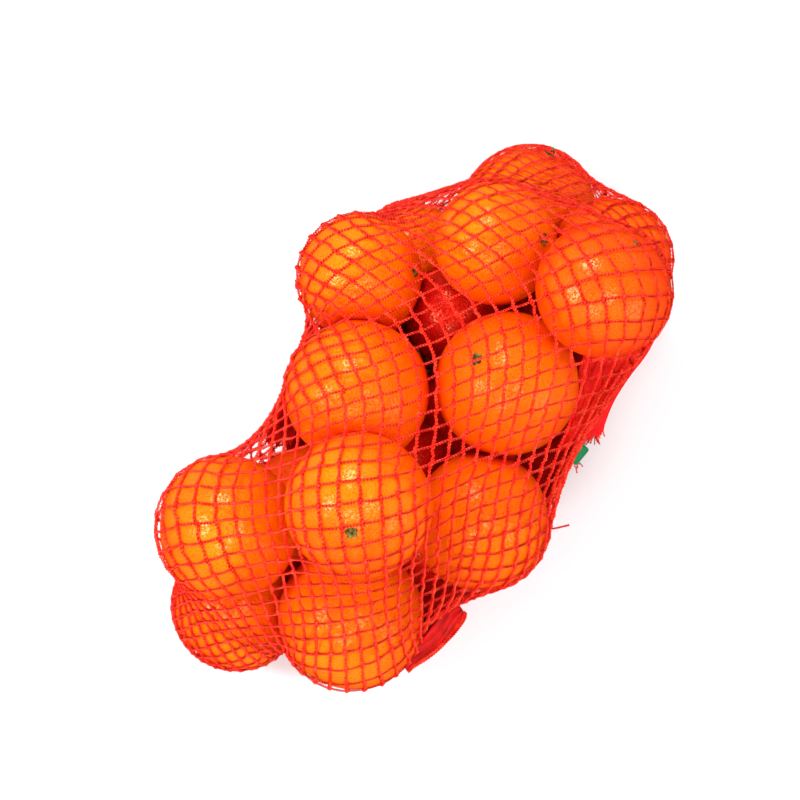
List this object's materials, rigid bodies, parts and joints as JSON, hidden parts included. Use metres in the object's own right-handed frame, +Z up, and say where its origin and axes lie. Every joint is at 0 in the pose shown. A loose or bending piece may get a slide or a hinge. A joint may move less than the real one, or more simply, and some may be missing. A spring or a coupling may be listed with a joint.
{
  "type": "net bag of oranges",
  "caption": "Red knitted net bag filled with oranges, lying on its side, its neck gathered and clipped and its other end folded into a seam.",
  "frame": {"origin": "on the surface the bag lies on, below the middle of its outline", "axes": "+X along the bag's longest extent, +Z up out of the shown side, the gathered neck and the seam on the -Y side"},
  "size_m": [0.3291, 0.1985, 0.1819],
  "materials": {
    "orange_peel": "satin waxy peel with fine pores",
    "net_plastic": "knitted plastic yarn, slightly shiny",
    "clip_plastic": "satin moulded plastic",
    "stem_button": "dry and rough"
  },
  "bodies": {
    "root": {"filled_net": "orange_peel", "neck_tail": "net_plastic", "seam_strip": "net_plastic", "neck_clip": "clip_plastic"}
  },
  "joints": []
}
